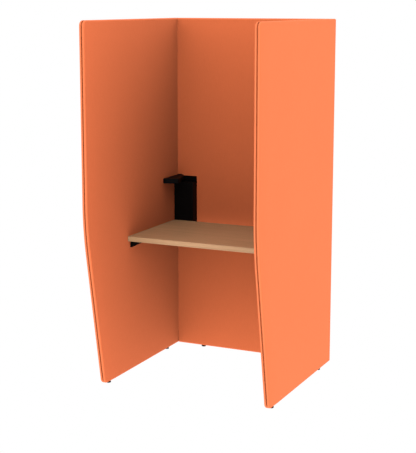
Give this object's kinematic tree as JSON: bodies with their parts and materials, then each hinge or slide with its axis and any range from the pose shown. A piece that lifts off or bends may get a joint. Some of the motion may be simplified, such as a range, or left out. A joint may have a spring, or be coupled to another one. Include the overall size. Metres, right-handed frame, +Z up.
{
  "type": "office booth",
  "caption": "Three-sided work booth of fabric-covered panels with a wood-surfaced desk on steel brackets, a black corner tower with a swivelling lamp head, and levelling feet.",
  "frame": {"origin": "on the floor under the centre of the booth", "axes": "+X to the right seen from the open front, +Y to the back, +Z up; the booth opens towards -Y"},
  "size_m": [0.914, 0.984, 1.798],
  "materials": {
    "panel_fabric": "fine woven cover, orange",
    "frame_wood": "bare wood, unseen",
    "infill_wool": "sound-absorbing wool, unseen",
    "desk_wood": "wood-grain laminate, satin",
    "desk_edge": "wood-grain edge band, satin",
    "black_steel": "black powder coat",
    "tower_black": "black satin coat",
    "black_plastic": "black, fine texture",
    "fastener_steel": "zinc plated",
    "driver_white": "moulded case",
    "washer_plastic": "slip plastic",
    "board_white": "coated board",
    "diffuser_plastic": "milky, satin"
  },
  "bodies": {
    "booth": {"left_outer_skin": "panel_fabric", "left_inner_skin": "panel_fabric", "left_frame": "frame_wood", "left_infill": "infill_wool", "right_outer_skin": "panel_fabric", "right_inner_skin": "panel_fabric", "right_frame": "frame_wood", "right_infill": "infill_wool", "back_outer_skin": "panel_fabric", "back_inner_skin": "panel_fabric", "back_frame": "frame_wood", "back_infill": "infill_wool", "left_desk_bracket": "black_steel", "right_desk_bracket": "black_steel", "corner_bolts": "fastener_steel", "bracket_bolts": "fastener_steel", "desk_screws": "fastener_steel", "foot_inserts": "fastener_steel", "tower_screws": "fastener_steel", "pivot_bolt": "fastener_steel", "pivot_nut": "fastener_steel", "desk_board": "desk_wood", "desk_edge_bands": "desk_edge", "tower_cover": "tower_black", "tower_back_plate": "black_steel", "pivot_pedestal": "black_plastic", "lamp_driver": "driver_white", "pivot_washer": "washer_plastic"},
    "lamp_head": {"lamp_bottom_shell": "black_plastic", "lamp_top_shell": "black_plastic", "lamp_hub_cap": "black_plastic", "lamp_led_board": "board_white", "lamp_diffuser": "diffuser_plastic", "lamp_screws": "fastener_steel"},
    "foot_left_front": {"foot_left_front_base": "black_plastic", "foot_left_front_stem": "fastener_steel"},
    "foot_left_rear": {"foot_left_rear_base": "black_plastic", "foot_left_rear_stem": "fastener_steel"},
    "foot_right_front": {"foot_right_front_base": "black_plastic", "foot_right_front_stem": "fastener_steel"},
    "foot_right_rear": {"foot_right_rear_base": "black_plastic", "foot_right_rear_stem": "fastener_steel"},
    "foot_back_left": {"foot_back_left_base": "black_plastic", "foot_back_left_stem": "fastener_steel"},
    "foot_back_right": {"foot_back_right_base": "black_plastic", "foot_back_right_stem": "fastener_steel"}
  },
  "joints": [
    {"name": "lamp_swing", "type": "hinge", "parent": "booth", "child": "lamp_head", "pos_m": [-0.398, 0.432, 0.942], "axis": [0, 0, 1], "range_deg": [0, 65]},
    {"name": "foot_left_front_level", "type": "slide", "parent": "booth", "child": "foot_left_front", "axis": [0, 0, -1], "range_m": [0, 0.015]},
    {"name": "foot_left_rear_level", "type": "slide", "parent": "booth", "child": "foot_left_rear", "axis": [0, 0, -1], "range_m": [0, 0.015]},
    {"name": "foot_right_front_level", "type": "slide", "parent": "booth", "child": "foot_right_front", "axis": [0, 0, -1], "range_m": [0, 0.015]},
    {"name": "foot_right_rear_level", "type": "slide", "parent": "booth", "child": "foot_right_rear", "axis": [0, 0, -1], "range_m": [0, 0.015]},
    {"name": "foot_back_left_level", "type": "slide", "parent": "booth", "child": "foot_back_left", "axis": [0, 0, -1], "range_m": [0, 0.015]},
    {"name": "foot_back_right_level", "type": "slide", "parent": "booth", "child": "foot_back_right", "axis": [0, 0, -1], "range_m": [0, 0.015]}
  ]
}
